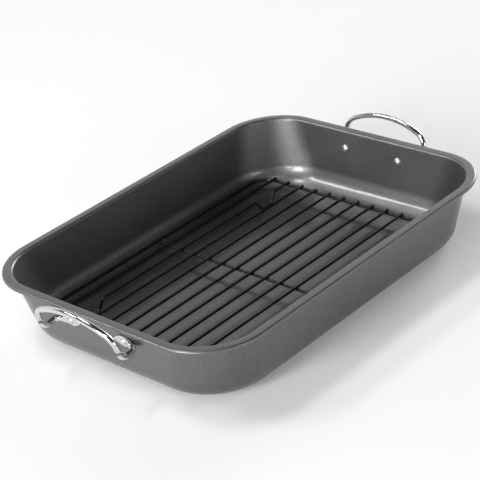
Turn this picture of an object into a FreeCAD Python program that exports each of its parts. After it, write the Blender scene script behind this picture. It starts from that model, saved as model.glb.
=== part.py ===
import FreeCAD, Part
import math
import os

from FreeCAD import Matrix, Vector

# Roasting pan with a lift-out wire rack, in millimetres.
# The origin is the middle of the underside; X runs along the pan, Y across it, Z up.
# The front handle is at the -X end and "left" is the +Y side.

# Pan: one drawn steel sheet with leaning walls and a flat rim whose edge is turned down.
# Each bend is the radius on the hollow side of the sheet.
PAN_LENGTH = 406.4
PAN_WIDTH = 301.4
PAN_HEIGHT = 67.0
SHEET = 1.0
RIM_CORNER = 60.0
RIM_FLANGE = 8.5
RIM_LIP = 3.2
RIM_EDGE_BEND = 0.7
RIM_THROAT_BEND = 1.5
WALL_LEAN = 7.0
FLOOR_CORNER = 69.0
FLOOR_BEND = 22.5

# Handles: bent round bar, its two ends forged into leaves that are riveted to the end wall.
# The grip is an arch of two shoulders and a flatter crown.
HANDLE_BAR = 5.5
HANDLE_SPAN = 100.0
HANDLE_REACH = 20.5
HANDLE_DROP = 18.7
GRIP_LEAN = 13.0
GRIP_STRAIGHT = 3.4
GRIP_SHOULDER = 17.0
GRIP_CROWN = 7.0
LEG_BEND = 7.0
ROOT_BEND = 6.0
ROOT_LIFT = 0.4
LEAF_LENGTH = 22.0
LEAF_WIDTH = 12.0
LEAF_THICKNESS = 2.2
LEAF_NOSE_LENGTH = 3.8
LEAF_NOSE_WIDTH = 6.8
LEAF_TIP_WIDTH = 2.2

# Rivets: domed head inside the pan, shank through wall and leaf, closed head outside
RIVET_INSET = 10.5
RIVET_SHANK = 4.0
RIVET_HEAD = 8.4
RIVET_HEAD_HEIGHT = 2.2
RIVET_CLOSED_HEAD = 6.6
RIVET_CLOSED_HEIGHT = 1.8
RIVET_HOLE_CLEARANCE = 0.1

# Rack: a wire loop that lies loose in the pan, lengthwise bars welded on top of it and one
# cross wire under them. One bar near each side dips to the floor twice, as feet.
RACK_ROOM = 2.0
RACK_END_PLAY = 13.3
RACK_SIDE_PLAY = 7.6
RACK_SHIFT = 7.0
FRAME_WIRE = 3.6
CROSS_WIRE = 3.0
BAR_WIRE = 2.6
BAR_COUNT = 12
BAR_OVERHANG = 1.5
WELD_SINK = 0.4
FOOT_BAR = 2
FOOT_INSET = 37.0
FOOT_DROP = 12.0
FOOT_WIDTH = 28.0
FOOT_SLANT = 7.0
FOOT_BEND = 10.0
FOOT_CORNER = 4.0
FOOT_CLEARANCE = 0.3

SAME_PLACE = 1e-4

lean = math.radians(WALL_LEAN)
bar_radius = HANDLE_BAR / 2
root_height = bar_radius + ROOT_LIFT
root_u = HANDLE_SPAN / 2 - ROOT_BEND
rivet_u = root_u - RIVET_INSET
bar_z = SHEET + FOOT_CLEARANCE + BAR_WIRE / 2 + FOOT_DROP
frame_z = bar_z - (BAR_WIRE + FRAME_WIRE) / 2 + WELD_SINK
cross_z = bar_z - (BAR_WIRE + CROSS_WIRE) / 2 + WELD_SINK
swap_sides = Matrix(-1, 0, 0, 0, 0, 1, 0, 0, 0, 0, 1, 0, 0, 0, 0, 1)


def rounded_outline(half_x, half_y, radius, z):
    """Closed rounded rectangle at height z: four sides and four corner arcs."""
    arcs = []
    turn = math.sqrt(0.5) * radius
    for sx, sy in ((1, 1), (-1, 1), (-1, -1), (1, -1)):
        cx, cy = sx * (half_x - radius), sy * (half_y - radius)
        on_x = Vector(sx * half_x, cy, z)
        on_y = Vector(cx, sy * half_y, z)
        start, end = (on_x, on_y) if sx * sy > 0 else (on_y, on_x)
        arcs.append(Part.Arc(start, Vector(cx + sx * turn, cy + sy * turn, z), end).toShape())
    sides = []
    for here, after in zip(arcs, arcs[1:] + arcs[:1]):
        sides.append(Part.makeLine(here.Vertexes[-1].Point, after.Vertexes[0].Point))
    return Part.Wire([edge for pair in zip(arcs, sides) for edge in pair])


def rim_outline(inset, z):
    """Outline that runs everywhere the same distance inside the rim's outer edge."""
    return rounded_outline(PAN_LENGTH / 2 - inset, PAN_WIDTH / 2 - inset, RIM_CORNER - inset, z)


def wall_section(depth, z):
    """Half length, half width and corner radius at height z of the surface `depth` inside the wall."""
    below = PAN_HEIGHT - z
    top_corner = RIM_CORNER - RIM_FLANGE
    inset = RIM_FLANGE + below * math.tan(lean) + depth / math.cos(lean)
    corner = top_corner + (FLOOR_CORNER - top_corner) * below / PAN_HEIGHT - depth / math.cos(lean)
    return PAN_LENGTH / 2 - inset, PAN_WIDTH / 2 - inset, corner


def wall_outline(depth, z):
    """That section as a closed outline."""
    return rounded_outline(*wall_section(depth, z), z)


def flat_edges(shape, z):
    """Edges of a shape that lie wholly at height z."""
    boxes = [(edge, edge.BoundBox) for edge in shape.Edges]
    return [edge for edge, box in boxes
            if abs(box.ZMin - z) < SAME_PLACE and abs(box.ZMax - z) < SAME_PLACE]


def tub(depth):
    """Solid inside the wall surface at this depth of sheet, rounded into its floor."""
    block = Part.makeLoft([wall_outline(depth, depth), wall_outline(depth, PAN_HEIGHT)], True, True)
    return block.makeFillet(FLOOR_BEND + SHEET - depth, flat_edges(block, depth))


def ring(outer, inner, height):
    """Upright ring between two outlines."""
    return Part.Face(outer).cut(Part.Face(inner)).extrude(Vector(0, 0, height))


def inset_of(point):
    """How far a point lies inside the rim's outer edge, seen from above."""
    from_corner_x = max(abs(point.x) - (PAN_LENGTH / 2 - RIM_CORNER), 0)
    from_corner_y = max(abs(point.y) - (PAN_WIDTH / 2 - RIM_CORNER), 0)
    return RIM_CORNER - math.hypot(from_corner_x, from_corner_y)


def rim_edges(shape, z, inset):
    """Edges at height z that run about the given distance inside the rim's outer edge."""
    return [edge for edge in flat_edges(shape, z)
            if abs(inset_of(edge.valueAt(edge.FirstParameter)) - inset) < SHEET / 2]


def end_frame(end, shape):
    """Carry a shape from the end wall's own frame to the pan: u across, n outward, v up the wall."""
    across = Vector(0, -end, 0)
    outward = Vector(end * math.cos(lean), 0, -math.sin(lean))
    up = Vector(end * math.sin(lean), 0, math.cos(lean))
    seat_x = PAN_LENGTH / 2 - RIM_FLANGE - HANDLE_DROP * math.tan(lean)
    columns = (across, outward, up, Vector(end * seat_x, 0, PAN_HEIGHT - HANDLE_DROP))
    rows = [getattr(column, axis) for axis in ("x", "y", "z") for column in columns]
    return shape.copy().transformShape(Matrix(*rows, 0, 0, 0, 1), True)


def rivet_hole(side):
    """Cylinder through wall and leaf, with room for the shank."""
    radius = RIVET_SHANK / 2 + RIVET_HOLE_CLEARANCE
    through = SHEET + LEAF_THICKNESS
    return Part.makeCylinder(radius, 2 * through, Vector(side * rivet_u, -through, 0), Vector(0, 1, 0))


def pan():
    """Drawn tub, flat flange and turned-down lip, all one sheet thick, with bent corners."""
    under = PAN_HEIGHT - SHEET
    lip_bottom = PAN_HEIGHT - RIM_LIP
    flange = ring(rim_outline(0, under), wall_outline(SHEET / 2, under), SHEET)
    lip = ring(rim_outline(0, lip_bottom), rim_outline(SHEET, lip_bottom), RIM_LIP)
    body = tub(0).fuse([flange, lip]).cut(tub(SHEET)).removeSplitter()
    throat_under = rim_edges(body, under, RIM_FLANGE + SHEET * math.tan(lean))
    body = body.makeFillet(RIM_THROAT_BEND, throat_under)
    throat_top = rim_edges(body, PAN_HEIGHT, RIM_FLANGE + SHEET / math.cos(lean))
    body = body.makeFillet(RIM_THROAT_BEND + SHEET, throat_top)
    body = body.makeFillet(RIM_EDGE_BEND, rim_edges(body, under, SHEET))
    body = body.makeFillet(RIM_EDGE_BEND + SHEET, rim_edges(body, PAN_HEIGHT, 0))
    for end in (-1, 1):
        for side in (-1, 1):
            body = body.cut(end_frame(end, rivet_hole(side)))
    return body


def bent_path(corners, bends):
    """Straight runs through the corners, with a tangent arc of the given radius at each bend."""
    edges = []
    last = corners[0]
    for before, corner, after, radius in zip(corners, corners[1:], corners[2:], bends):
        into = (corner - before).normalize()
        out = (after - corner).normalize()
        half_turn = into.getAngle(out) / 2
        reach = radius * math.tan(half_turn)
        start, end = corner - into * reach, corner + out * reach
        inward = (out - into).normalize()
        middle = corner + inward * (radius / math.cos(half_turn) - radius)
        if (start - last).Length > SAME_PLACE:
            edges.append(Part.makeLine(last, start))
        edges.append(Part.Arc(start, middle, end).toShape())
        last = end
    edges.append(Part.makeLine(last, corners[-1]))
    return edges


def round_wire(edges, diameter):
    """Round wire along a smooth path."""
    start = edges[0].firstVertex().Point
    heading = edges[0].tangentAt(edges[0].FirstParameter)
    section = Part.Wire(Part.makeCircle(diameter / 2, start, heading))
    return Part.Wire(edges).makePipeShell([section], True, False)


def mirrored(edges):
    """The same run on the other side, walked back the other way."""
    back = []
    for edge in reversed(edges):
        first, last = edge.FirstParameter, edge.LastParameter
        stations = (last, (first + last) / 2, first)
        start, middle, end = (swap_sides.multVec(edge.valueAt(station)) for station in stations)
        straight = edge.Curve.TypeId == "Part::GeomLine"
        back.append(Part.makeLine(start, end) if straight else Part.Arc(start, middle, end).toShape())
    return back


def grip_path():
    """Bar axis from one leaf to the other: out of the wall, up, over a three-centred arch and back."""
    tip = math.radians(GRIP_LEAN - WALL_LEAN)
    rise = Vector(0, math.sin(tip), math.cos(tip))
    half = HANDLE_SPAN / 2
    upright = LEG_BEND * math.tan((math.pi / 2 - tip) / 2) + GRIP_STRAIGHT
    shoulder_u = half - GRIP_SHOULDER
    arch_rise = GRIP_SHOULDER + GRIP_CROWN
    crown_radius = (shoulder_u ** 2 + arch_rise ** 2 - GRIP_SHOULDER ** 2) / (2 * GRIP_CROWN)
    meet_angle = math.pi / 2 - math.atan2(shoulder_u, crown_radius - arch_rise)

    def on_arch(across, up):
        return Vector(across, HANDLE_REACH, 0) + rise * (upright + up)

    def on_shoulder(angle):
        return on_arch(shoulder_u + GRIP_SHOULDER * math.cos(angle), GRIP_SHOULDER * math.sin(angle))

    spring, meet = on_shoulder(0), on_shoulder(meet_angle)
    leg = bent_path([Vector(root_u, root_height, 0), Vector(half, root_height, 0),
                     Vector(half, HANDLE_REACH, 0), spring], [ROOT_BEND, LEG_BEND])
    shoulder = Part.Arc(spring, on_shoulder(meet_angle / 2), meet).toShape()
    crown = Part.Arc(meet, on_arch(0, arch_rise), swap_sides.multVec(meet)).toShape()
    return leg + [shoulder, crown] + mirrored(leg + [shoulder])


def leaf():
    """Forged bar end: the round section spreads into a flat leaf and narrows again to its tip."""
    tip_u = root_u - LEAF_LENGTH
    half = LEAF_WIDTH / 2
    core = LEAF_THICKNESS / 2
    spread = [(root_u, bar_radius, root_height),
              ((root_u + rivet_u) / 2, (bar_radius + half) / 2, (root_height + core) / 2),
              (rivet_u, half, core),
              (tip_u + LEAF_NOSE_LENGTH, LEAF_NOSE_WIDTH / 2, core),
              (tip_u, LEAF_TIP_WIDTH / 2, core)]
    sections = []
    for u, half_wide, height in spread:
        loop = Part.makeCircle(bar_radius, Vector(u, height, 0), Vector(1, 0, 0))
        widen = Matrix(1, 0, 0, 0, 0, 1, 0, 0, 0, 0, half_wide / bar_radius, 0, 0, 0, 0, 1)
        sections.append(Part.Wire(loop if half_wide == bar_radius else loop.transformGeometry(widen)))
    blank = Part.makeLoft(sections, True, False)
    ramp_u = rivet_u + RIVET_CLOSED_HEAD / 2
    past_u = tip_u - half
    side_view = [(past_u, 0), (root_u, 0), (root_u, root_height + bar_radius),
                 (ramp_u, LEAF_THICKNESS), (past_u, LEAF_THICKNESS)]
    corners = [Vector(u, n, -LEAF_WIDTH) for u, n in side_view]
    press = Part.Face(Part.makePolygon(corners + corners[:1])).extrude(Vector(0, 0, 2 * LEAF_WIDTH))
    return blank.common(press).cut(rivet_hole(1))


def handle():
    """Bar and both leaves, in the end wall's frame."""
    other_leaf = leaf().mirror(Vector(0, 0, 0), Vector(1, 0, 0))
    return round_wire(grip_path(), HANDLE_BAR).fuse([leaf(), other_leaf])


def dome(radius, height, seat, way):
    """Arc of a rivet head, from its edge on the seat to its top on the axis."""
    ball = (radius ** 2 + height ** 2) / (2 * height)
    half_angle = math.asin(radius / ball) / 2
    middle_rise = ball * math.cos(half_angle) - ball + height
    middle = Vector(ball * math.sin(half_angle), seat + way * middle_rise, 0)
    return Part.Arc(Vector(radius, seat, 0), middle, Vector(0, seat + way * height, 0)).toShape()


def rivet(side):
    """Headed rivet, turned about the axis of its hole."""
    inner, outer = -SHEET, LEAF_THICKNESS
    shank = RIVET_SHANK / 2
    head = dome(RIVET_HEAD / 2, RIVET_HEAD_HEIGHT, inner, -1)
    closed = dome(RIVET_CLOSED_HEAD / 2, RIVET_CLOSED_HEIGHT, outer, 1)
    corners = [Vector(RIVET_HEAD / 2, inner, 0), Vector(shank, inner, 0), Vector(shank, outer, 0),
               Vector(RIVET_CLOSED_HEAD / 2, outer, 0)]
    runs = [Part.makeLine(a, b) for a, b in zip(corners, corners[1:])]
    axis = Part.makeLine(Vector(0, outer + RIVET_CLOSED_HEIGHT, 0), Vector(0, inner - RIVET_HEAD_HEIGHT, 0))
    profile = Part.Face(Part.Wire(Part.__sortEdges__([head] + runs + [closed, axis])))
    turned = profile.revolve(Vector(0, 0, 0), Vector(0, 1, 0), 360)
    turned.translate(Vector(side * rivet_u, 0, 0))
    return turned


def rack_loop():
    """Half length, half width and corner radius of the loop's axis.

    The largest loop keeps RACK_ROOM from the pan's floor bend all round. Within it the wire has its
    end and side play, and a corner just round enough to stay in the largest loop's own corner.
    """
    bend_z = SHEET + FLOOR_BEND
    half_x, half_y, corner = wall_section(SHEET + FLOOR_BEND, bend_z)
    from_bend_axis = FLOOR_BEND - RACK_ROOM - FRAME_WIRE / 2
    reach = math.sqrt(from_bend_axis ** 2 - (bend_z - frame_z) ** 2)
    corner_play = RACK_END_PLAY + RACK_SIDE_PLAY + math.sqrt(2 * RACK_END_PLAY * RACK_SIDE_PLAY)
    loop_half_x = half_x + reach - RACK_END_PLAY - RACK_SHIFT
    return loop_half_x, half_y + reach - RACK_SIDE_PLAY, corner + reach - corner_play


def rack_frame(half_x, half_y, corner):
    """Closed wire loop with rounded corners."""
    loop = rounded_outline(half_x, half_y, corner, frame_z)
    runs = [round_wire([edge], FRAME_WIRE) for edge in loop.Edges]
    return runs[0].fuse(runs[1:]).removeSplitter()


def rack_cross_wire(half_y, frame):
    """Wire under the bars, butted between the two long sides of the loop."""
    half = half_y - FRAME_WIRE / 2 + WELD_SINK
    rod = Part.makeCylinder(CROSS_WIRE / 2, 2 * half, Vector(0, -half, cross_z), Vector(0, 1, 0))
    return rod.cut(frame)


def rack_bar(number, half_x, half_y):
    """Lengthwise bar, one of a row spaced evenly across the loop; a foot bar dips to the floor twice."""
    y = half_y * (1 - 2 * number / (BAR_COUNT + 1))
    end = half_x + BAR_OVERHANG
    corners = [Vector(-end, y, bar_z)]
    bends = []
    if number in (FOOT_BAR, BAR_COUNT + 1 - FOOT_BAR):
        low = bar_z - FOOT_DROP
        heel = FOOT_WIDTH / 2
        toe = heel - FOOT_SLANT
        for middle in (FOOT_INSET - half_x, half_x - FOOT_INSET):
            for x, z in ((-heel, bar_z), (-toe, low), (toe, low), (heel, bar_z)):
                corners.append(Vector(middle + x, y, z))
            bends += [FOOT_CORNER, FOOT_BEND, FOOT_BEND, FOOT_CORNER]
    corners.append(Vector(end, y, bar_z))
    return round_wire(bent_path(corners, bends), BAR_WIRE)


def rack():
    """The rack's wires by node name, each bar saddled on the wires that it is welded to."""
    half_x, half_y, corner = rack_loop()
    frame = rack_frame(half_x, half_y, corner)
    cross_wire = rack_cross_wire(half_y, frame)
    wires = {"rack_frame": frame, "rack_cross_wire": cross_wire}
    for number in range(1, BAR_COUNT + 1):
        bar = rack_bar(number, half_x, half_y)
        wires["rack_bar_%02d" % number] = bar.cut(frame).cut(cross_wire)
    for wire in wires.values():
        wire.translate(Vector(-RACK_SHIFT, 0, 0))
    return wires


def build():
    """Every piece at rest, by node name."""
    nodes = {"pan": pan()}
    for end, place in ((-1, "front"), (1, "rear")):
        nodes[place + "_handle"] = end_frame(end, handle())
        for side, hand in ((1, "left"), (-1, "right")):
            nodes[place + "_" + hand + "_rivet"] = end_frame(end, rivet(-end * side))
    nodes.update(rack())
    return nodes


os.makedirs("parts", exist_ok=True)
for name, shape in build().items():
    shape.exportStep("parts/" + name + ".step")
    print(name, "solids", len(shape.Solids), "valid", shape.isValid(), "volume", round(shape.Volume, 1))
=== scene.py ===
# %% [markdown]
# # A roasting pan with its wire rack
# The frame holds the pan, its handles, its rivets and its rack as solids at their real size. This
# lesson draws each of them again as a smooth surface and gives it its finish. Every surface is a
# numpy array of points, so that its formula can be read in one place, and every piece replaces the
# solid that it was drawn from.

# %% Load the frame
import math

import bpy
import numpy as np
from mathutils import Matrix, Vector


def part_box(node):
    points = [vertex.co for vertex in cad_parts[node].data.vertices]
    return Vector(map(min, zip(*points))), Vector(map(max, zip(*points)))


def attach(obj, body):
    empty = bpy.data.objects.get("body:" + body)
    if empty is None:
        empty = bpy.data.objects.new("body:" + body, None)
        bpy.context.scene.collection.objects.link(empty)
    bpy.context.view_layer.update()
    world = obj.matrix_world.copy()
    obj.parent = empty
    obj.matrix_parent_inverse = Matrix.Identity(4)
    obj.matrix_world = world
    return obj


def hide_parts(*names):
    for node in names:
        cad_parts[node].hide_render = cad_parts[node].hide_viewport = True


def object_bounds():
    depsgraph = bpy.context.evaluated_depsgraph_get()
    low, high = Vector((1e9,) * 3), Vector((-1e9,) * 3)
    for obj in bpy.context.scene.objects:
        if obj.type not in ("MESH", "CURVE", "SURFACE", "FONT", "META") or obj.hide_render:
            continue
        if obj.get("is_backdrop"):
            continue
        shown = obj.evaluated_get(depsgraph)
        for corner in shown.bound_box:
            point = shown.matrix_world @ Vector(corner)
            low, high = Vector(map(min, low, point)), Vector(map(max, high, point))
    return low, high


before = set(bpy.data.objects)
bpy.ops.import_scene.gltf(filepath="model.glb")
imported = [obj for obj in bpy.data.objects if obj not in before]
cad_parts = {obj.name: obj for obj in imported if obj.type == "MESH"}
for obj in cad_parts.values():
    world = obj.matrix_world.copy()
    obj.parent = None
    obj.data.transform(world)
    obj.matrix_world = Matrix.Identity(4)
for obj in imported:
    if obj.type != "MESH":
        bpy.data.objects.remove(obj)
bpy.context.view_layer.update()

MM = 0.001
pan_low, pan_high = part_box("pan")

# %% [markdown]
# ## Camera
# The picture looks at the front right corner of the pan from above, with a long lens, and is turned a
# little about the line of sight. A camera could be aimed by hand, but here it is placed by two angles,
# a turn and a distance, because those can be measured from the rim and written down.

# %% Camera
CAMERA_AZIMUTH = math.radians(-43.92)
CAMERA_ELEVATION = math.radians(28.17)
CAMERA_ROLL = math.radians(-8.2)
CAMERA_DISTANCE = 1465.6 * MM
CAMERA_LENS = 120.34
CAMERA_AIM = Vector((-32.3, -25.1, 66.0)) * MM


def towards(azimuth, elevation):
    """Unit vector from the object to a place at this azimuth and height angle; azimuth 0 is on -Y."""
    level = math.cos(elevation)
    return Vector((math.sin(azimuth) * level, -math.cos(azimuth) * level, math.sin(elevation)))


back = towards(CAMERA_AZIMUTH, CAMERA_ELEVATION)
level_right = Vector((0, 0, 1)).cross(back).normalized()
level_up = back.cross(level_right)
right = level_right * math.cos(CAMERA_ROLL) + level_up * math.sin(CAMERA_ROLL)
up = back.cross(right)
lens = bpy.data.cameras.new("camera")
lens.lens = CAMERA_LENS
camera = bpy.data.objects.new("camera", lens)
place = Matrix((right, up, back)).transposed().to_4x4()
place.translation = CAMERA_AIM + back * CAMERA_DISTANCE
camera.matrix_world = place
bpy.context.scene.collection.objects.link(camera)
bpy.context.scene.camera = camera
bpy.context.scene.view_settings.view_transform = "Standard"
print("camera at", [round(value, 3) for value in camera.location])

# %% [markdown]
# ## Stage and light
# The pan stands on a white studio sweep in a dim room. The floor is a pale matt sheet that takes the
# pan's shadow. The room is white only near the horizon and higher up behind the pan, so that bright
# metal shows a pale floor, a pale backdrop and a dark ceiling. Soft boxes stand round the pan: a low one
# before the front end lights the inside, a small one on the left draws the bright lines along the bends,
# one high on the left throws the shadow, and the others lift the rim and the corners. One large lamp
# would be simpler, but it would leave every wall the same grey.

# %% Node helpers


def add_node(tree, kind, inputs, **options):
    """New node with its options set, and each named input given a value or linked to a socket."""
    made = tree.nodes.new(kind)
    for name, value in options.items():
        setattr(made, name, value)
    for name, value in inputs.items():
        if isinstance(value, bpy.types.NodeSocket):
            tree.links.new(value, made.inputs[name])
        else:
            made.inputs[name].default_value = value
    return made


def combine(tree, operation, one, other):
    """Two numbers made into one by a Math node."""
    return add_node(tree, "ShaderNodeMath", {0: one, 1: other}, operation=operation).outputs[0]


def map_range(tree, value, given, wanted):
    """A number that runs through the given pair, laid evenly onto the wanted pair and held there."""
    return add_node(tree, "ShaderNodeMapRange", {
        "Value": value, "From Min": given[0], "From Max": given[1],
        "To Min": wanted[0], "To Max": wanted[1]}).outputs["Result"]


def seen_share(tree):
    """1 for rays from the eye or from a mirror-like reflection, 0 for the rays that only light things."""
    path = add_node(tree, "ShaderNodeLightPath", {}).outputs
    mirrored = combine(tree, "MAXIMUM", path["Is Camera Ray"], path["Is Glossy Ray"])
    return combine(tree, "MAXIMUM", mirrored, path["Is Transmission Ray"])


# %% World
HORIZON = 0.93
CEILING = 0.04
BACKDROP_RISE = 0.5
BACKDROP_EDGE = (0.1, 0.35)

world = bpy.data.worlds.new("studio")
world.use_nodes = True
bpy.context.scene.world = world
room = world.node_tree
ray = add_node(room, "ShaderNodeTexCoord", {}).outputs["Generated"]
height = add_node(room, "ShaderNodeSeparateXYZ", {"Vector": ray}).outputs["Z"]
edge_tilt = Vector((0, 0, 1)) + towards(CAMERA_AZIMUTH, 0) * BACKDROP_RISE
over_edge = add_node(room, "ShaderNodeVectorMath", {0: ray, 1: edge_tilt}, operation="DOT_PRODUCT")
lower = combine(room, "MINIMUM", height, over_edge.outputs["Value"])
backdrop = room.nodes["Background"]
backdrop.inputs["Color"].default_value = (1, 1, 1, 1)
room.links.new(map_range(room, lower, BACKDROP_EDGE, (HORIZON, CEILING)), backdrop.inputs["Strength"])
print("world", HORIZON, "on the backdrop,", CEILING, "above")

# %% Soft boxes
LAMP_DISTANCE = 3.0


def soft_box(name, azimuth, elevation, width, height, power):
    """Area lamp on a sphere round the pan, facing its middle: angles in degrees, sizes in metres and
    power in watts."""
    lamp = bpy.data.lights.new(name, "AREA")
    lamp.shape = "RECTANGLE"
    lamp.size = width
    lamp.size_y = height
    lamp.energy = power
    direction = towards(math.radians(azimuth), math.radians(elevation))
    box = bpy.data.objects.new(name, lamp)
    box.rotation_mode = "QUATERNION"
    box.rotation_quaternion = direction.to_track_quat("Z", "Y")
    box.location = direction * LAMP_DISTANCE
    bpy.context.scene.collection.objects.link(box)
    return box


boxes = [soft_box("left_box", -158, 66, 1.0, 0.5, 24),
         soft_box("key_box", -146, 43, 0.8, 0.3, 18),
         soft_box("top_box", -50, 62, 1.2, 0.6, 8),
         soft_box("front_box", -93, 20, 0.9, 1.1, 64),
         soft_box("corner_box", -72, 13, 0.5, 0.5, 12),
         soft_box("right_box", -4, 18, 0.9, 0.5, 10),
         soft_box("rear_box", 98, 17, 1.2, 0.8, 40)]
print("soft boxes", ", ".join(box.name for box in boxes))

# %% Floor
FLOOR_HALF = 6.0
FLOOR_GLOW = 0.13
FAR_GLOW = 0.8
GLOW_NEAR = 1.2
GLOW_FAR = 4.0

sweep_finish = bpy.data.materials.new("white_sweep")
sweep_finish.use_nodes = True
tree = sweep_finish.node_tree
sweep = tree.nodes["Principled BSDF"]
sweep.inputs["Base Color"].default_value = (0.82, 0.82, 0.82, 1)
sweep.inputs["Roughness"].default_value = 0.9
sweep.inputs["Specular IOR Level"].default_value = 0.0
sweep.inputs["Emission Color"].default_value = (1, 1, 1, 1)
spot = add_node(tree, "ShaderNodeTexCoord", {}).outputs["Object"]
away = add_node(tree, "ShaderNodeVectorMath", {0: spot}, operation="LENGTH").outputs["Value"]
rising = map_range(tree, away, (GLOW_NEAR, GLOW_FAR), (FLOOR_GLOW, FAR_GLOW))
tree.links.new(combine(tree, "MULTIPLY", seen_share(tree), rising), sweep.inputs["Emission Strength"])
floor_mesh = bpy.data.meshes.new("floor")
square = np.array([[-1, -1, 0], [1, -1, 0], [1, 1, 0], [-1, 1, 0]]) * FLOOR_HALF
floor_mesh.from_pydata(square.tolist(), [], [[0, 1, 2, 3]])
floor_mesh.materials.append(sweep_finish)
floor = bpy.data.objects.new("floor", floor_mesh)
bpy.context.scene.collection.objects.link(floor)
floor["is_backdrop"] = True
print("floor", 2 * FLOOR_HALF, "m square")

# %% [markdown]
# ## Surfaces and finishes
# Sheet, bar and wire all get their shape from a tool that keeps its outline while the metal moves past
# it. Blender's curves and modifiers could do the same, but here every piece is a row of rings, and one
# helper closes the rings into a skin whose faces point outwards. The finishes share a helper too: no
# coat or plating is even, so each one is a slow noise for the gloss and a fine one for the relief.

# %% Skin over rings


def skin_over(rings, closed_along=False):
    """Points and faces of a closed skin over rings: rings[i, j] joins its neighbours, j goes round.

    The ends are closed by a point at the middle of the first and of the last ring, unless the rings
    themselves run round in a loop. Faces point outwards: the volume under the skin, summed as cones
    to the origin, tells if they have to be turned.
    """
    count, around = rings.shape[:2]
    index = np.arange(count * around).reshape(count, around)
    following = np.roll(index, -1, axis=1)
    if closed_along:
        ahead, ahead_following = np.roll(index, -1, axis=0), np.roll(following, -1, axis=0)
        quads = np.stack((index, following, ahead_following, ahead), axis=-1).reshape(-1, 4)
        caps = np.zeros((0, 3), int)
        points = rings.reshape(-1, 3)
    else:
        quads = np.stack((index[:-1], following[:-1], following[1:], index[1:]), axis=-1).reshape(-1, 4)
        poles = np.full((2, around), count * around) + np.array([[0], [1]])
        first = np.stack((poles[0], following[0], index[0]), axis=-1)
        last = np.stack((poles[1], index[-1], following[-1]), axis=-1)
        caps = np.concatenate((first, last))
        points = np.concatenate((rings.reshape(-1, 3), rings[[0, -1]].mean(axis=1)))
    triangles = np.concatenate((quads[:, [0, 1, 2]], quads[:, [0, 2, 3]], caps))
    corners = points[triangles]
    if np.einsum("ij,ij->", corners[:, 0], np.cross(corners[:, 1], corners[:, 2])) < 0:
        quads, caps = quads[:, ::-1], caps[:, ::-1]
    return points, [quads, caps]


# %% Meshes and pieces


def mesh_of(name, points, faces):
    """Smooth mesh of the points, with the quads and then the triangles of a skin."""
    mesh = bpy.data.meshes.new(name)
    mesh.from_pydata(points.tolist(), [], [face for part in faces for face in part.tolist()])
    mesh.polygons.foreach_set("use_smooth", np.ones(len(mesh.polygons), bool))
    return mesh


def fill_mesh(name, rings, closed_along=False):
    """Mesh of the skin over rings."""
    return mesh_of(name, *skin_over(rings, closed_along))


def add_piece(mesh, finish, body, slot, *nodes):
    """Object at the origin that wears a finish, rides on a body and stands for the named solids."""
    piece = bpy.data.objects.new(mesh.name, mesh)
    bpy.context.scene.collection.objects.link(piece)
    mesh.materials.append(finish)
    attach(piece, body)
    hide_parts(*nodes)
    print(piece.name, len(mesh.polygons), "faces for", ", ".join(nodes) or "no solid of its own")


# %% Finish helper
NOISE_MIDDLE = (0.3, 0.7)


def uneven_finish(name, gloss, slow_scale, relief, constants):
    """Material whose roughness runs through the gloss pair as a slow noise runs through its middle range,
    and whose relief is a fine noise given by its scale, strength and depth. Constants go on the shader's
    own sockets. Returns the material, the place that it reads and the slow noise, for the colour."""
    finish = bpy.data.materials.new(name)
    finish.use_nodes = True
    tree = finish.node_tree
    shader = tree.nodes["Principled BSDF"]
    where = add_node(tree, "ShaderNodeTexCoord", {}).outputs["Object"]
    slow = add_node(tree, "ShaderNodeTexNoise", {"Vector": where, "Scale": slow_scale, "Detail": 3.0})
    drift = slow.outputs["Fac"]
    scale, strength, depth = relief
    fine = add_node(tree, "ShaderNodeTexNoise", {"Vector": where, "Scale": scale, "Detail": 2.0})
    skin = add_node(tree, "ShaderNodeBump", {
        "Height": fine.outputs["Fac"], "Strength": strength, "Distance": depth})
    tree.links.new(map_range(tree, drift, NOISE_MIDDLE, gloss), shader.inputs["Roughness"])
    tree.links.new(skin.outputs["Normal"], shader.inputs["Normal"])
    for socket, value in constants.items():
        shader.inputs[socket].default_value = value
    return finish, where, drift


def tint(finish, noise, dark, light, edges=(0.0, 1.0)):
    """Base colour of a finish: it runs from dark to light as the noise runs through the edges."""
    tree = finish.node_tree
    shade = add_node(tree, "ShaderNodeValToRGB", {"Fac": noise})
    for stop, edge, colour in zip(shade.color_ramp.elements, edges, (dark, light)):
        stop.position = edge
        stop.color = (*colour, 1)
    tree.links.new(shade.outputs["Color"], tree.nodes["Principled BSDF"].inputs["Base Color"])


# %% [markdown]
# ## Pan
# The pan is one steel sheet, pressed deep between a punch and a die: a flat floor, a wide bend, a
# leaning wall, a tight bend out to the flange and an edge turned down for stiffness. It could be
# modelled as a box with bevels, but then every bend has to be found again after each change. Here it
# is a stack of rounded rectangles: a profile says how large each one is and how high it lies, from
# the middle of the floor over the rim to the middle of the underside, so the sheet keeps its
# thickness by formula.

# %% Sizes of the sheet
PAN_LENGTH = pan_high.x - pan_low.x
PAN_WIDTH = pan_high.y - pan_low.y
PAN_HEIGHT = pan_high.z
SHEET = 1.0 * MM
RIM_CORNER = 60.0 * MM
RIM_FLANGE = 8.5 * MM
RIM_LIP = 3.2 * MM
RIM_EDGE_BEND = 0.7 * MM
RIM_THROAT_BEND = 1.5 * MM
FLOOR_CORNER = 69.0 * MM
FLOOR_BEND = 22.5 * MM
LEAN = math.radians(7.0)
print("pan", round(PAN_LENGTH / MM, 1), "by", round(PAN_WIDTH / MM, 1), "by", round(PAN_HEIGHT / MM, 1), "mm")

# %% Rounded rectangles
CORNER_STEPS = 40
SIDE_STEPS = 12


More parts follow.
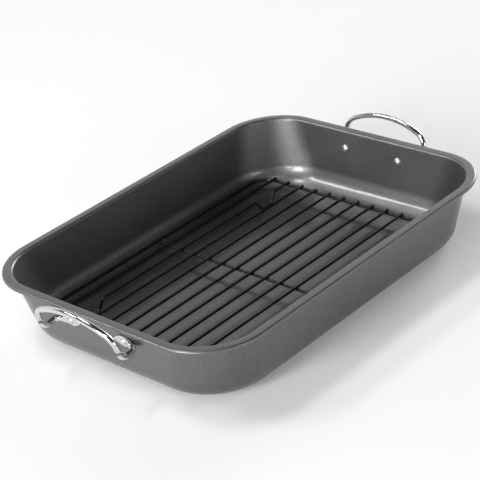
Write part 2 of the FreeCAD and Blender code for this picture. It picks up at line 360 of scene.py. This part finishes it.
def outline_stations():
    """Walk round a rounded rectangle: the share of each half side at which the arc's centre lies, and
    the direction from that centre. On a corner the direction turns, on a side the centre moves."""
    turns = np.arange(4)[:, None] * np.pi / 2
    swing = np.linspace(0, np.pi / 2, CORNER_STEPS)
    slide = np.linspace(0, 1, SIDE_STEPS, endpoint=False)[1:]
    centres = np.array([[1, 1], [-1, 1], [-1, -1], [1, -1]])[:, None]
    onward = np.roll(centres, -1, axis=0) - centres
    held = np.repeat(centres, CORNER_STEPS, axis=1)
    share = np.concatenate((held, centres + onward * slide[:, None]), axis=1)
    angle = np.concatenate((turns + swing, turns + np.pi / 2 + 0 * slide), axis=1)
    return share[..., 0].ravel(), share[..., 1].ravel(), angle.ravel()


def stacked_outlines(half_x, half_y, corner, z):
    """Rings of points: each ring is a rounded rectangle, its arc centres plus the corner radius times
    the direction, at its own height."""
    share_x, share_y, angle = outline_stations()
    half_x, half_y, corner, z = (values[:, None] for values in (half_x, half_y, corner, z))
    x = share_x * (half_x - corner) + corner * np.cos(angle)
    y = share_y * (half_y - corner) + corner * np.sin(angle)
    return np.stack(np.broadcast_arrays(x, y, z), axis=-1)


print(len(outline_stations()[0]), "stations round an outline")

# %% Sections of the sheet


def wall_section(depth, z):
    """Half length, half width, corner radius and height of the surface `depth` inside the leaning wall.
    The wall's corner grows evenly from the rim to the floor."""
    below = PAN_HEIGHT - z
    top_corner = RIM_CORNER - RIM_FLANGE
    inset = RIM_FLANGE + below * np.tan(LEAN) + depth / np.cos(LEAN)
    corner = top_corner + (FLOOR_CORNER - top_corner) * below / PAN_HEIGHT - depth / np.cos(LEAN)
    return np.array(np.broadcast_arrays(PAN_LENGTH / 2 - inset, PAN_WIDTH / 2 - inset, corner, z))


def rim_section(inset, z):
    """Outline everywhere the same distance inside the rim's edge."""
    return np.array(np.broadcast_arrays(PAN_LENGTH / 2 - inset, PAN_WIDTH / 2 - inset, RIM_CORNER - inset, z))


def swept(centre, outward, rise):
    """A section's outline grown outward and lifted, for each of the given amounts."""
    return centre[:, None] + np.array([outward, outward, outward, rise])


print("outer wall at the floor", [round(side / MM, 1) for side in 2 * wall_section(0.0, 0.0)[:2]], "mm")

# %% Bends and flats
BEND_STEPS = 28
THROAT_STEPS = 14
FLAT_STEPS = 12


def floor_bend(depth):
    """Quarter round from the floor up into the wall, on the surface at this depth of the sheet. Its
    corner is eased so that it ends on the wall's own corner."""
    radius = FLOOR_BEND + SHEET - depth
    centre = wall_section(SHEET + FLOOR_BEND, SHEET + FLOOR_BEND)
    angle = np.linspace(np.pi / 2, LEAN, BEND_STEPS)
    bend = swept(centre, radius * np.cos(angle), -radius * np.sin(angle))
    miss = wall_section(depth, bend[3, -1])[2] - bend[2, -1]
    bend[2] += miss * np.cos(angle) / np.cos(LEAN)
    return bend


def throat(radius):
    """Bend from the wall out to the flange, about a centre below the flange."""
    centre = wall_section(-RIM_THROAT_BEND, PAN_HEIGHT - SHEET - RIM_THROAT_BEND)
    angle = np.linspace(LEAN, np.pi / 2, THROAT_STEPS)
    return swept(centre, -radius * np.cos(angle), radius * np.sin(angle))


def flat(edge):
    """Rings that grow from the middle of a flat face out to its edge."""
    share = np.linspace(0, 1, FLAT_STEPS)[1:-1]
    face = edge[:, None] * share
    face[3] = edge[3]
    return face


print("floor bend ends", round(floor_bend(SHEET)[3, -1] / MM, 1), "mm up the inside")

# %% Pan surface
EDGE_STEPS = 10
CUT_INSET = np.array([0, 0.1, 0.3, 0.7, 0.9, 1]) * SHEET
CUT_RISE = np.array([0.3, 0.1, 0, 0, 0.1, 0.3]) * SHEET

outer_edge = RIM_EDGE_BEND + SHEET
edge_centre = rim_section(outer_edge, PAN_HEIGHT - outer_edge)
quarter = np.linspace(0, np.pi / 2, EDGE_STEPS)
inside_bend = floor_bend(SHEET)
outside_bend = floor_bend(0.0)
profile = np.concatenate((
    flat(inside_bend[:, 0]),
    inside_bend,
    throat(RIM_THROAT_BEND + SHEET),
    swept(edge_centre, outer_edge * np.sin(quarter), outer_edge * np.cos(quarter)),
    rim_section(CUT_INSET, PAN_HEIGHT - RIM_LIP + CUT_RISE),
    swept(edge_centre, RIM_EDGE_BEND * np.sin(quarter), RIM_EDGE_BEND * np.cos(quarter))[:, ::-1],
    throat(RIM_THROAT_BEND)[:, ::-1],
    outside_bend[:, ::-1],
    flat(outside_bend[:, 0])[:, ::-1],
), axis=1)
pan_mesh = fill_mesh("roasting_pan", stacked_outlines(*profile))
print("pan surface of", profile.shape[1], "outlines")

# %% [markdown]
# ## Non-stick coat
# The sheet is sprayed with a dark grey coat that holds fine metal flakes and dries to a satin skin.
# A flat grey would look like plastic. The flake is a fine noise that lightens specks, a slower noise
# lets the gloss drift a little from place to place, and a faint bump gives the sprayed texture.

# %% Coat finish
FLAKE_SCALE = 1300.0
FLAKE_EDGES = (0.35, 0.75)

coat, where, _ = uneven_finish(
    "nonstick_coat", gloss=(0.4, 0.5), slow_scale=14.0, relief=(700.0, 0.12, 0.05 * MM),
    constants={"Metallic": 1.0, "Coat Weight": 0.5, "Coat Roughness": 0.12})
flake = add_node(coat.node_tree, "ShaderNodeTexNoise", {"Vector": where, "Scale": FLAKE_SCALE, "Detail": 2.0})
tint(coat, flake.outputs["Fac"], dark=(0.12, 0.12, 0.122), light=(0.23, 0.23, 0.234), edges=FLAKE_EDGES)
add_piece(pan_mesh, coat, "pan", "pan_coating", "pan")

# %% [markdown]
# ## Handles
# Each handle is a round bar, bent hot: it comes out of the wall on two legs, turns up and closes in an
# arch, and its two ends are hammered into flat leaves for the rivets. A curve with a round bevel would
# give the bar but not the leaves. Here one ring of points travels along the bar's path, and on the
# leaves its width, height and middle change with the distance from the tip.

# %% Sizes of the handles
HANDLE_BAR = 5.5 * MM
HANDLE_SPAN = 100.0 * MM
HANDLE_REACH = 20.5 * MM
HANDLE_DROP = 18.7 * MM
GRIP_TILT = math.radians(13.0) - LEAN
GRIP_STRAIGHT = 3.4 * MM
GRIP_SHOULDER = 17.0 * MM
GRIP_CROWN = 7.0 * MM
LEG_BEND = 7.0 * MM
ROOT_BEND = 6.0 * MM
ROOT_LIFT = 0.4 * MM
LEAF_LENGTH = 22.0 * MM
LEAF_THICKNESS = 2.2 * MM
RIVET_INSET = 10.5 * MM
RIVET_CLOSED_HEAD = 6.6 * MM
ENDS = {"front": -1, "rear": 1}

bar_radius = HANDLE_BAR / 2
root_height = bar_radius + ROOT_LIFT
root_u = HANDLE_SPAN / 2 - ROOT_BEND
rivet_u = root_u - RIVET_INSET


def on_end_wall(end, points):
    """Points in the end wall's own frame, u across, n outward and v up the wall, carried to the pan."""
    axes = np.array([[0, -end, 0],
                     [end * math.cos(LEAN), 0, -math.sin(LEAN)],
                     [end * math.sin(LEAN), 0, math.cos(LEAN)]])
    seat = PAN_LENGTH / 2 - RIM_FLANGE - HANDLE_DROP * math.tan(LEAN)
    return points @ axes + np.array([end * seat, 0, PAN_HEIGHT - HANDLE_DROP])


print("rivets", round(2 * rivet_u / MM, 1), "mm apart")

# %% Arch of the bar


def unit(vectors):
    """Each vector made one long."""
    return vectors / np.linalg.norm(vectors, axis=1, keepdims=True)


def turn_path(centre, start_arm, quarter_arm, angle, steps):
    """Arc about a centre, from its start arm towards the arm a quarter turn on: points and headings."""
    swing = np.linspace(0, angle, steps)[:, None]
    arms = start_arm * np.cos(swing) + quarter_arm * np.sin(swing)
    heading = quarter_arm * np.cos(swing) - start_arm * np.sin(swing)
    return centre + arms, unit(heading)


across, outward, upward = np.eye(3)
rise = np.array([0, math.sin(GRIP_TILT), math.cos(GRIP_TILT)])
leg_turn = math.pi / 2 - GRIP_TILT
leg_reach = LEG_BEND * math.tan(leg_turn / 2)
shoulder_u = HANDLE_SPAN / 2 - GRIP_SHOULDER
arch_rise = GRIP_SHOULDER + GRIP_CROWN
crown_radius = (shoulder_u ** 2 + arch_rise ** 2 - GRIP_SHOULDER ** 2) / (2 * GRIP_CROWN)
meet = math.pi / 2 - math.atan2(shoulder_u, crown_radius - arch_rise)
arch_foot = outward * HANDLE_REACH + rise * (leg_reach + GRIP_STRAIGHT)
print("crown radius", round(crown_radius / MM, 1), "mm, shoulder arcs", round(math.degrees(meet)), "degrees")

# %% Path of the bar
LEG_STEPS = 14
SHOULDER_STEPS = 20
CROWN_STEPS = 30

root = turn_path(across * root_u + outward * (root_height + ROOT_BEND),
                 -outward * ROOT_BEND, across * ROOT_BEND, math.pi / 2, LEG_STEPS)
leg_end = across * HANDLE_SPAN / 2 + outward * (HANDLE_REACH - leg_reach)
leg = turn_path(leg_end + upward * LEG_BEND, -upward * LEG_BEND, outward * LEG_BEND, leg_turn, LEG_STEPS)
shoulder = turn_path(arch_foot + across * shoulder_u,
                     across * GRIP_SHOULDER, rise * GRIP_SHOULDER, meet, SHOULDER_STEPS)
crown_arm = across * math.cos(meet) + rise * math.sin(meet)
crown_on = rise * math.cos(meet) - across * math.sin(meet)
crown = turn_path(arch_foot + rise * (arch_rise - crown_radius),
                  crown_arm * crown_radius, crown_on * crown_radius, math.pi / 2 - meet, CROWN_STEPS)
half_points = np.concatenate((root[0], leg[0], shoulder[0], crown[0][1:]))
half_headings = np.concatenate((root[1], leg[1], shoulder[1], crown[1][1:]))
half_sides = np.concatenate((np.tile(upward, (LEG_STEPS, 1)), np.cross(across, leg[1]),
                             np.tile(np.cross(rise, across), (SHOULDER_STEPS + CROWN_STEPS - 1, 1))))
print("half of the bar's path", len(half_points), "stations, top", round(half_points[-1, 2] / MM, 1), "mm")

# %% Leaf surface
LEAF_PLACES = np.array([0, 3.8, 11.5, 16.75, 22.0]) * MM
LEAF_HALF_WIDTHS = np.array([1.1, 3.4, 6.0, 4.4, 2.75]) * MM
LEAF_TIP = 1.2 * MM
BLUNT_SHARE = 0.02
TIP_STEPS = 8
LEAF_STEPS = 40
FLAT_POWER = 0.45


def smooth_through(places, values, at):
    """Curve through given values that leaves each with the mean slope of its two neighbours."""
    slope = np.gradient(values, places)
    left = np.clip(np.searchsorted(places, at, side="right") - 1, 0, len(places) - 2)
    span = places[left + 1] - places[left]
    t = (at - places[left]) / span
    return ((1 + 2 * t) * (1 - t) ** 2 * values[left] + t * (1 - t) ** 2 * span * slope[left]
            + t ** 2 * (3 - 2 * t) * values[left + 1] + t ** 2 * (t - 1) * span * slope[left + 1])


def signed_power(values, power):
    """Each value's size raised to a power, with its sign kept: below 1 it presses a circle square."""
    return np.sign(values) * np.abs(values) ** power


def leaf_rings(angle):
    """Rings from the leaf's tip to its root: an oval as wide as the leaf is there, whose upper and
    lower sides are pressed flat between the wall and the hammered face."""
    tip = np.linspace(0, 1, TIP_STEPS, endpoint=False) ** 2 * LEAF_TIP
    along = np.concatenate((tip, np.linspace(LEAF_TIP, LEAF_LENGTH, LEAF_STEPS)))
    wide = smooth_through(LEAF_PLACES, LEAF_HALF_WIDTHS, along)
    wide = wide * np.sqrt(np.clip(along / LEAF_TIP, BLUNT_SHARE, 1))
    swelling = RIVET_INSET - RIVET_CLOSED_HEAD / 2
    ramp = np.clip((along - LEAF_LENGTH + swelling) / swelling, 0, 1)
    middle = LEAF_THICKNESS / 2 + (root_height - LEAF_THICKNESS / 2) * ramp
    half_high = LEAF_THICKNESS / 2 + (bar_radius - LEAF_THICKNESS / 2) * ramp
    power = FLAT_POWER + (1 - FLAT_POWER) * ramp[:, None]
    v = wide[:, None] * signed_power(np.cos(angle), power)
    n = middle[:, None] - half_high[:, None] * signed_power(np.sin(angle), power)
    u = np.broadcast_to((root_u - LEAF_LENGTH + along)[:, None], v.shape)
    return np.stack((u, n, v), axis=-1)


print("leaf", round(LEAF_LENGTH / MM, 1), "by", round(2 * LEAF_HALF_WIDTHS.max() / MM, 1), "mm")

# %% Bar surface
AROUND = 32
ring_angle = np.linspace(0, 2 * np.pi, AROUND, endpoint=False)


def wire_rings(points, headings, sides, diameter):
    """Rings of a round bar or wire: at each station a circle square to the heading, begun on its side."""
    sides = np.broadcast_to(sides, headings.shape)
    other = np.cross(headings, sides)
    circle = np.cos(ring_angle)[:, None] * sides[:, None] + np.sin(ring_angle)[:, None] * other[:, None]
    return points[:, None] + diameter / 2 * circle


bar_rings = wire_rings(half_points, half_headings, half_sides, HANDLE_BAR)
half_rings = np.concatenate((leaf_rings(ring_angle)[:-1], bar_rings))
other_half = half_rings[-2::-1] * np.array([-1, 1, 1])
handle_rings = np.concatenate((half_rings, other_half))
print("handle surface of", handle_rings.shape[0], "rings")

# %% [markdown]
# ## Chrome
# The bars are polished and plated, so they show the room: the white sweep, the dark pan and the soft
# boxes. A perfect mirror would look drawn by a computer. Plating is never quite even, so a slow noise
# moves the gloss a little and a faint ripple bends the reflections.

# %% Chrome finish
METAL_SCALE = 60.0
RIPPLE_SCALE = 380.0
RIPPLE_DEPTH = 0.1 * MM
DULL_SHARE = np.array([0.86, 0.86, 0.87])


def bright_metal(name, tone, gloss, ripple):
    """Polished metal: one slow noise for the gloss and the tone, one finer noise for the ripple."""
    relief = (RIPPLE_SCALE, ripple, RIPPLE_DEPTH)
    metal, _, drift = uneven_finish(name, gloss, METAL_SCALE, relief, {"Metallic": 1.0})
    tint(metal, drift, dark=DULL_SHARE * tone, light=(tone, tone, tone))
    return metal


chrome = bright_metal("chrome_plate", tone=0.72, gloss=(0.1, 0.17), ripple=0.06)
for end_name, end in ENDS.items():
    handle_mesh = fill_mesh(end_name + "_bar_handle", on_end_wall(end, handle_rings))
    add_piece(handle_mesh, chrome, "pan", "handle_chrome", end_name + "_handle")

# %% [markdown]
# ## Rivets
# A rivet is a pin with a factory head inside the pan and a head closed by hammering outside. Both are
# low domes, so the whole rivet is one profile turned about its pin. A sphere cut in half would be too
# round: the dome here is a slice of a larger ball.

# %% Rivet profile
RIVET_SHANK = 4.0 * MM
RIVET_HEAD = 8.4 * MM
RIVET_HEAD_HEIGHT = 2.2 * MM
RIVET_CLOSED_HEIGHT = 1.8 * MM
DOME_STEPS = 16


def dome(width, height):
    """Radius and height of a slice of a ball, from near its top down to its edge. The ball's radius is
    the one whose slice has this width and height."""
    ball = (width ** 2 / 4 + height ** 2) / (2 * height)
    swing = np.linspace(0, math.asin(width / 2 / ball), DOME_STEPS)[1:]
    return ball * np.sin(swing), ball * np.cos(swing) - ball + height


head_radius, head_height = dome(RIVET_HEAD, RIVET_HEAD_HEIGHT)
closed_radius, closed_height = dome(RIVET_CLOSED_HEAD, RIVET_CLOSED_HEIGHT)
radius = np.concatenate((head_radius, [RIVET_SHANK / 2, RIVET_SHANK / 2], closed_radius[::-1]))[:, None]
along_pin = np.concatenate((-SHEET - head_height, [-SHEET, LEAF_THICKNESS],
                            LEAF_THICKNESS + closed_height[::-1]))[:, None]
rivet_rings = np.stack(np.broadcast_arrays(
    radius * np.cos(ring_angle), along_pin, radius * np.sin(ring_angle)), axis=-1)
print("rivet", round((along_pin.max() - along_pin.min()) / MM, 1), "mm long")

# %% Rivets
rivet_steel = bright_metal("rivet_steel", tone=0.66, gloss=(0.36, 0.46), ripple=0.1)
for end_name, end in ENDS.items():
    for hand, side in (("left", 1), ("right", -1)):
        shifted = rivet_rings - end * side * rivet_u * across
        name = end_name + "_" + hand + "_rivet"
        rivet_mesh = fill_mesh(name + "_turned", on_end_wall(end, shifted))
        add_piece(rivet_mesh, rivet_steel, "pan", "rivet_steel", name)

# %% [markdown]
# ## Rack
# The rack is bent from round wire: a loop, twelve bars laid along it, and one wire across underneath.
# It stands on four feet, which are dips in the second bar from each side. A curve with a round bevel
# would do for each wire, but its ends and bends could not be read as a formula. Here the ring of points
# of the handles is carried along each wire's path, and the path's place is read from the box of the
# wire's solid, so the wires lie where the frame has them.

# %% Loop
FRAME_WIRE = 3.6 * MM
RACK_CORNER = 18.73 * MM

loop_low, loop_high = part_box("rack_frame")
loop_middle = (loop_low + loop_high) / 2
loop_half_x = (loop_high.x - loop_low.x - FRAME_WIRE) / 2
loop_half_y = (loop_high.y - loop_low.y - FRAME_WIRE) / 2
loop_section = np.array([[loop_half_x], [loop_half_y], [RACK_CORNER], [loop_middle.z]])
outline = stacked_outlines(*loop_section)[0] + np.array([loop_middle.x, loop_middle.y, 0])
loop_headings = unit(np.roll(outline, -1, axis=0) - np.roll(outline, 1, axis=0))
loop_rings = wire_rings(outline, loop_headings, upward, FRAME_WIRE)
loop_mesh = fill_mesh("rack_loop", loop_rings, closed_along=True)
print("loop", round(2 * loop_half_x / MM, 1), "by", round(2 * loop_half_y / MM, 1), "mm")

# %% Cross wire
CROSS_WIRE = 3.0 * MM
CROSS_OVERLAP = 0.5 * MM
STRAIGHT_STEPS = 24

cross_low, cross_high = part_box("rack_cross_wire")
cross_z = (cross_low.z + cross_high.z) / 2
cross_points = np.linspace((loop_middle.x, cross_low.y - CROSS_OVERLAP, cross_z),
                           (loop_middle.x, cross_high.y + CROSS_OVERLAP, cross_z), STRAIGHT_STEPS)
cross_headings = np.tile(outward, (STRAIGHT_STEPS, 1))
cross_mesh = fill_mesh("rack_cross", wire_rings(cross_points, cross_headings, upward, CROSS_WIRE))
print("cross wire", round((cross_high.y - cross_low.y) / MM, 1), "mm long")

# %% Path of a bent bar
FOOT_INSET = 37.0 * MM
FOOT_DROP = 12.0 * MM
FOOT_WIDTH = 28.0 * MM
FOOT_SLANT = 7.0 * MM
FOOT_BEND = 10.0 * MM
FOOT_CORNER = 4.0 * MM
FOOT_STEPS = 9


def rounded_polyline(corners, radii):
    """Straight runs in the X Z plane with an arc of the given radius at each inner corner: the arc's
    centre lies square to the run before it, on the side to which the path turns."""
    into, out = unit(corners[1:-1] - corners[:-2]), unit(corners[2:] - corners[1:-1])
    turn = np.arctan2(into[:, 0] * out[:, 1] - into[:, 1] * out[:, 0], np.einsum("ij,ij->i", into, out))
    reach = radii * np.tan(np.abs(turn) / 2)
    side = np.stack((-into[:, 1], into[:, 0]), axis=-1) * np.sign(turn)[:, None]
    centre = corners[1:-1] - into * reach[:, None] + side * radii[:, None]
    swing = np.abs(turn)[:, None, None] * np.linspace(0, 1, FOOT_STEPS)[:, None]
    along, inward = into[:, None], side[:, None]
    arms = along * np.sin(swing) - inward * np.cos(swing)
    arcs = centre[:, None] + radii[:, None, None] * arms
    heads = along * np.cos(swing) + inward * np.sin(swing)
    points = np.concatenate((corners[:1], arcs.reshape(-1, 2), corners[-1:]))
    return points, np.concatenate((into[:1], heads.reshape(-1, 2), out[-1:]))


def footed_path(ends):
    """Path of a bar that dips to the floor twice, as far in from the loop's two ends."""
    heel, toe = FOOT_WIDTH / 2, FOOT_WIDTH / 2 - FOOT_SLANT
    foot = np.array([[-heel, 0], [-toe, -FOOT_DROP], [toe, -FOOT_DROP], [heel, 0]])
    middle_x = loop_middle.x + (loop_half_x - FOOT_INSET) * np.array([-1, 1])
    middles = np.stack((middle_x, ends[:, 1]), axis=-1)
    corners = np.concatenate((ends[:1], (middles[:, None] + foot).reshape(-1, 2), ends[1:]))
    return rounded_polyline(corners, np.tile([FOOT_CORNER, FOOT_BEND, FOOT_BEND, FOOT_CORNER], 2))


print("feet", round(2 * (loop_half_x - FOOT_INSET) / MM, 1), "mm apart")

# %% Bars
BAR_WIRE = 2.6 * MM
BAR_COUNT = 12
END_SHARES = np.array([0.35, 0.7, 0.9])[:, None, None]


def cut_ends(rings):
    """The same wire with flat cut ends: three more rings at each end shrink towards the middle."""
    first, last = rings[0].mean(axis=0), rings[-1].mean(axis=0)
    start = first + (rings[0] - first) * END_SHARES
    finish = last + (rings[-1] - last) * END_SHARES[::-1]
    return np.concatenate((start, rings, finish))


bar_meshes, bar_y = {}, []
for number in range(1, BAR_COUNT + 1):
    node = "rack_bar_%02d" % number
    low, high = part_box(node)
    bar_z = high.z - BAR_WIRE / 2
    ends = np.array([[low.x, bar_z], [high.x, bar_z]])
    if low.z < bar_z - FOOT_DROP:
        path, heads = footed_path(ends)
    else:
        path = np.linspace(ends[0], ends[1], STRAIGHT_STEPS)
        heads = np.tile([1.0, 0.0], (STRAIGHT_STEPS, 1))
    bar_y.append((low.y + high.y) / 2)
    points, heads = np.insert(path, 1, bar_y[-1], axis=1), np.insert(heads, 1, 0.0, axis=1)
    bar_meshes[node] = fill_mesh(node + "_wire", cut_ends(wire_rings(points, heads, outward, BAR_WIRE)))
print(len(bar_meshes), "bars")

# %% [markdown]
# ## Welds
# Where two wires cross they are pressed together hot, so a little metal swells out beside the joint and
# the coat runs into it. Each swelling could be modelled by hand, but there are thirty-six of them and
# the coat evens them out. So one small oval ball is worked out once and set at every crossing.

# %% Welds
WELD_HALF = np.array([2.0, 2.2, 1.1]) * MM
BALL_STEPS = 9
BALL_AROUND = 12
POLE_ANGLE = 0.2

weld_x = loop_middle.x + np.array([-loop_half_x, 0.0, loop_half_x])
grid_x, grid_y = np.meshgrid(weld_x, bar_y)
centres = np.stack((grid_x.ravel(), grid_y.ravel(), np.full(grid_x.size, bar_z - BAR_WIRE / 2)), axis=-1)
polar = np.linspace(POLE_ANGLE, np.pi - POLE_ANGLE, BALL_STEPS)[:, None]
round_about = np.linspace(0, 2 * np.pi, BALL_AROUND, endpoint=False)
ball = np.stack(np.broadcast_arrays(np.sin(polar) * np.cos(round_about), np.sin(polar) * np.sin(round_about),
                                    np.cos(polar)), axis=-1) * WELD_HALF
ball_points, ball_faces = skin_over(ball)
offsets = len(ball_points) * np.arange(len(centres))[:, None, None]
weld_faces = [(offsets + part).reshape(-1, part.shape[1]) for part in ball_faces]
weld_mesh = mesh_of("rack_welds", (centres[:, None] + ball_points).reshape(-1, 3), weld_faces)
print(len(centres), "welds")

# %% [markdown]
# ## Black coat
# The rack is dipped in a black non-stick coat that dries glossier than the pan's. On thin wire the eye
# reads it by its highlights alone, so the gloss matters more than the colour: a slow noise moves it,
# and a fine bump breaks up the highlight along each wire.

# %% Black coat finish
dip, _, drift = uneven_finish(
    "black_dip", gloss=(0.22, 0.34), slow_scale=45.0, relief=(900.0, 0.15, 0.05 * MM),
    constants={"Specular IOR Level": 0.35})
tint(dip, drift, dark=(0.003, 0.003, 0.003), light=(0.007, 0.007, 0.007))
add_piece(loop_mesh, dip, "rack", "rack_coating", "rack_frame")
add_piece(cross_mesh, dip, "rack", "rack_coating", "rack_cross_wire")
for node, mesh in bar_meshes.items():
    add_piece(mesh, dip, "rack", "rack_coating", node)
add_piece(weld_mesh, dip, "rack", "rack_coating")

# %% [markdown]
# ## Size
# The drawn pan must be as large as the solids. It could be measured by eye in a render, but the box
# round all the points tells it to a hundredth of a millimetre, so the box round the drawn pieces is
# worked out.

# %% Size
low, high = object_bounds()
